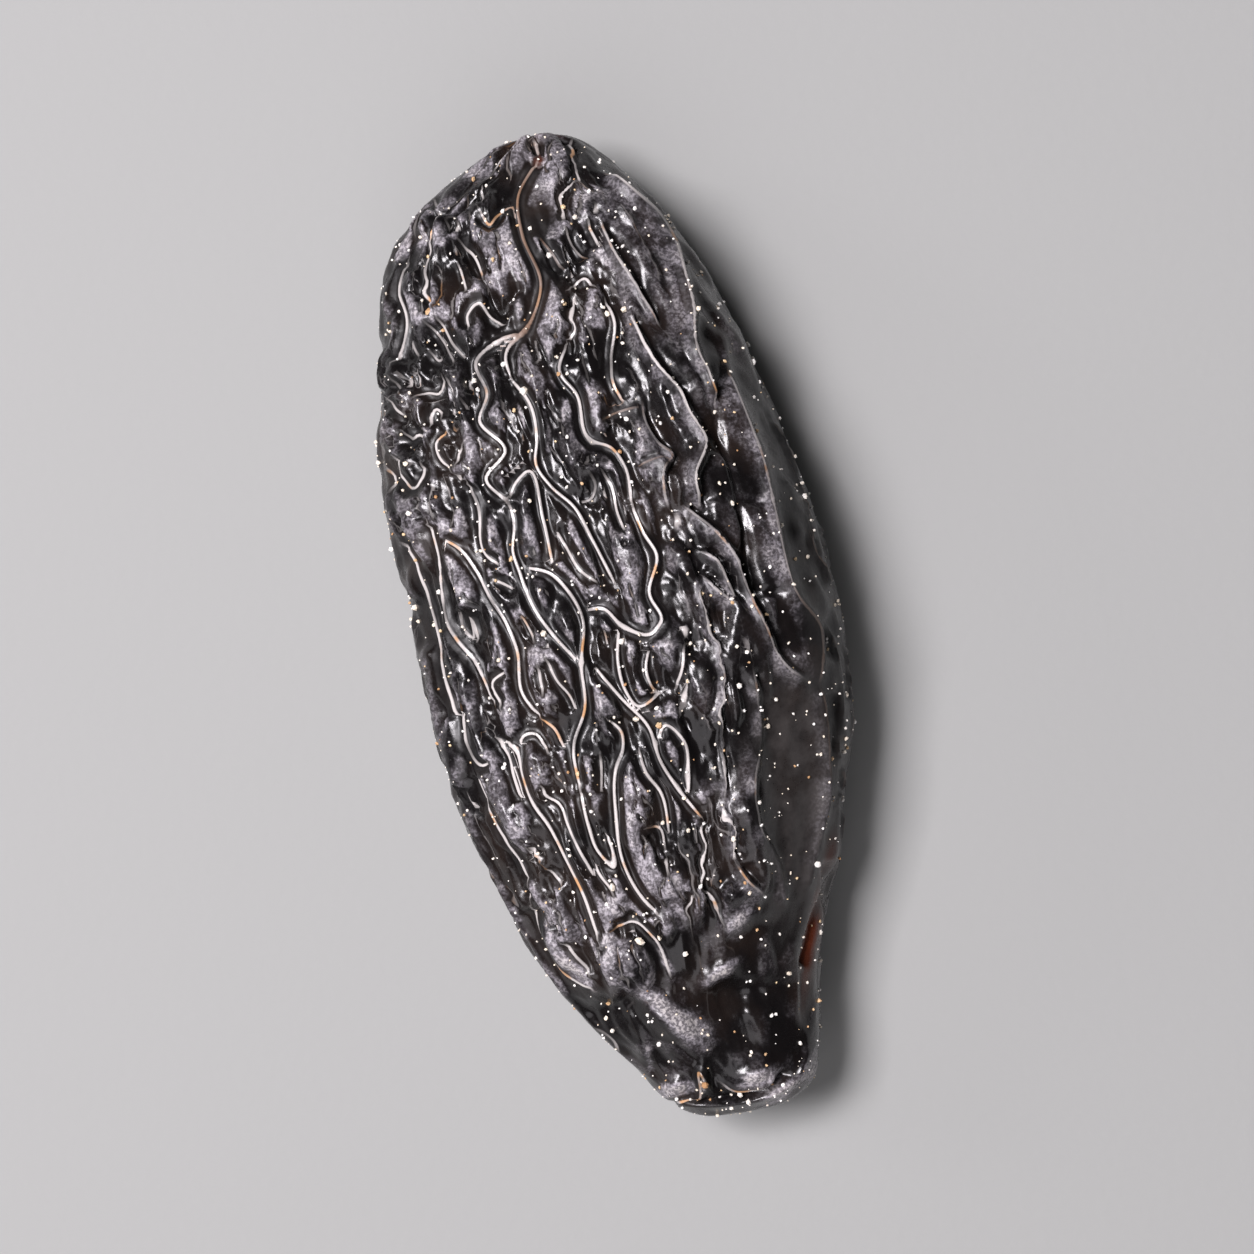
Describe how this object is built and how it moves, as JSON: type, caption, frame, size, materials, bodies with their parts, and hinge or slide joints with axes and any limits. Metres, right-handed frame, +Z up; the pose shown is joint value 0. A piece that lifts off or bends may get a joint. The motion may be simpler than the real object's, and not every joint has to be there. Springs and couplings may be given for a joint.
{
  "type": "tonka bean",
  "caption": "Dried tonka bean: a long flattened seed with one rounded end, a blunt snout and a lengthwise wrinkled skin, lying on its broad side.",
  "frame": {"origin": "on the table, under the middle of the bean's box", "axes": "+Y along the bean towards its rounded end, +X across its width, +Z up through its thickness"},
  "size_m": [0.0162, 0.038, 0.01],
  "materials": {
    "bean_skin": "near-black brown, wrinkled, slightly oily gloss"
  },
  "bodies": {
    "root": {"bean": "bean_skin"}
  },
  "joints": []
}
